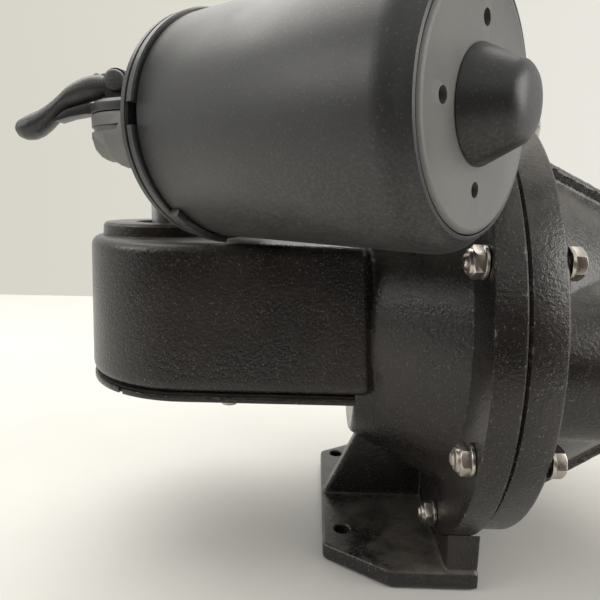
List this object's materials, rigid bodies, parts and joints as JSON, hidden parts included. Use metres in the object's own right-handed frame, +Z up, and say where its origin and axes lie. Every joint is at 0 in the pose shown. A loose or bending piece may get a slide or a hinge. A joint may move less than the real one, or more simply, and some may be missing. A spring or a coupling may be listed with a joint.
{
  "type": "anchor windlass",
  "caption": "Electric anchor windlass: skewed motor on a worm head, stadium gear case, round bolted housing, chain wheel, warping drum, crank socket, release lever and foot.",
  "frame": {"origin": "centre of the foot's underside", "axes": "+X along the main shaft towards the warping drum, +Z up, motor on the -Y side"},
  "size_m": [0.4024, 0.2442, 0.2271],
  "materials": {
    "black_paint": "gloss enamel over sand-cast aluminium, coarse orange-peel grain",
    "motor_paint": "satin black enamel on drawn steel tube, dusty underneath",
    "cap_grey": "matt grey-black painted end plate with dust",
    "stainless": "stainless fasteners and deck wheels",
    "steel": "machined steel",
    "bronze": "bearing bronze",
    "gasket": "black sealing sheet",
    "rubber": "lip seal rubber",
    "copper": "copper-graphite brush",
    "magnet": "ferrite",
    "handle_black": "satin black cast lever"
  },
  "bodies": {
    "housing": {"gear_case": "black_paint", "cover_gasket": "gasket", "bottom_cover": "black_paint", "cover_screw_1": "stainless", "cover_screw_2": "stainless", "cover_screw_3": "stainless", "cover_screw_4": "stainless", "cover_screw_5": "stainless", "foot_bracket": "black_paint", "flange_gasket": "gasket", "output_cover": "black_paint", "flange_bolt_1": "stainless", "flange_bolt_2": "stainless", "flange_bolt_3": "stainless", "flange_bolt_4": "stainless", "flange_bolt_5": "stainless", "flange_bolt_6": "stainless", "flange_bolt_7": "stainless", "flange_bolt_8": "stainless", "motor_tube": "motor_paint", "motor_end_cap": "cap_grey", "motor_nose": "motor_paint", "motor_rear_rim": "motor_paint", "rim_key": "motor_paint", "field_magnet_upper": "magnet", "field_magnet_lower": "magnet", "motor_front_bearing": "steel", "motor_rear_bearing": "steel", "brush_rear": "copper", "brush_front": "copper", "worm_head": "cap_grey", "head_lid": "motor_paint", "post_bearing": "steel", "sun_bearing": "steel", "ring_gear": "steel", "main_bearing_inner": "steel", "main_bearing_outer": "steel", "shaft_seal": "rubber", "crank_bush": "bronze", "chain_stripper": "stainless", "lever_bracket": "motor_paint", "lever_pin": "handle_black"},
    "armature": {"armature": "steel"},
    "drive_post": {"worm_wheel": "bronze", "drive_post": "steel", "mitre_pinion": "steel"},
    "sun": {"sun_shaft": "steel", "mitre_gear": "steel"},
    "main": {"main_shaft": "steel", "clutch_cone": "stainless", "warping_drum": "stainless"},
    "planet_1": {"planet_gear_1": "steel"},
    "planet_2": {"planet_gear_2": "steel"},
    "planet_3": {"planet_gear_3": "steel"},
    "gypsy": {"chain_gypsy": "stainless", "gypsy_bush": "bronze"},
    "crank": {"crank_shaft": "steel"},
    "clutch_nut": {"clutch_nut": "stainless"},
    "lever": {"release_lever": "handle_black"}
  },
  "joints": [
    {"name": "motor_spin", "type": "hinge", "parent": "housing", "child": "armature", "pos_m": [-0.07649, -0.0498, 0.1857], "axis": [0.776, -0.6307, 0], "continuous": true},
    {"name": "post_spin", "type": "hinge", "parent": "housing", "child": "drive_post", "pos_m": [-0.1105, 0, 0.15], "axis": [0, 0, 1], "continuous": true},
    {"name": "sun_spin", "type": "hinge", "parent": "housing", "child": "sun", "pos_m": [0, 0, 0.103], "axis": [1, 0, 0], "continuous": true},
    {"name": "main_spin", "type": "hinge", "parent": "housing", "child": "main", "pos_m": [0.05, 0, 0.103], "axis": [1, 0, 0], "continuous": true},
    {"name": "planet_1_spin", "type": "hinge", "parent": "main", "child": "planet_1", "pos_m": [0.02, 0, 0.139], "axis": [1, 0, 0], "continuous": true},
    {"name": "planet_2_spin", "type": "hinge", "parent": "main", "child": "planet_2", "pos_m": [0.02, -0.03118, 0.085], "axis": [1, 0, 0], "continuous": true},
    {"name": "planet_3_spin", "type": "hinge", "parent": "main", "child": "planet_3", "pos_m": [0.02, 0.03118, 0.085], "axis": [1, 0, 0], "continuous": true},
    {"name": "crank_spin", "type": "hinge", "parent": "housing", "child": "crank", "pos_m": [0.08, -0.06, 0.1006], "axis": [1, 0, 0], "continuous": true},
    {"name": "gypsy_spin", "type": "hinge", "parent": "main", "child": "gypsy", "pos_m": [0.133, 0, 0.103], "axis": [1, 0, 0], "continuous": true},
    {"name": "clutch_nut_turn", "type": "hinge", "parent": "main", "child": "clutch_nut", "pos_m": [0.21, 0, 0.103], "axis": [1, 0, 0], "range_deg": [0, 300]},
    {"name": "lever_swing", "type": "hinge", "parent": "housing", "child": "lever", "pos_m": [-0.126, -0.006, 0.209], "axis": [0, 1, 0], "range_deg": [0, 65]}
  ],
  "couplings": [
    {"joint": "post_spin", "follows": "motor_spin", "ratio": -0.0625},
    {"joint": "sun_spin", "follows": "motor_spin", "ratio": 0.0625},
    {"joint": "main_spin", "follows": "motor_spin", "ratio": 0.012153},
    {"joint": "planet_1_spin", "follows": "motor_spin", "ratio": -0.032039},
    {"joint": "planet_2_spin", "follows": "motor_spin", "ratio": -0.032039},
    {"joint": "planet_3_spin", "follows": "motor_spin", "ratio": -0.032039},
    {"joint": "crank_spin", "follows": "motor_spin", "ratio": -0.048611}
  ]
}
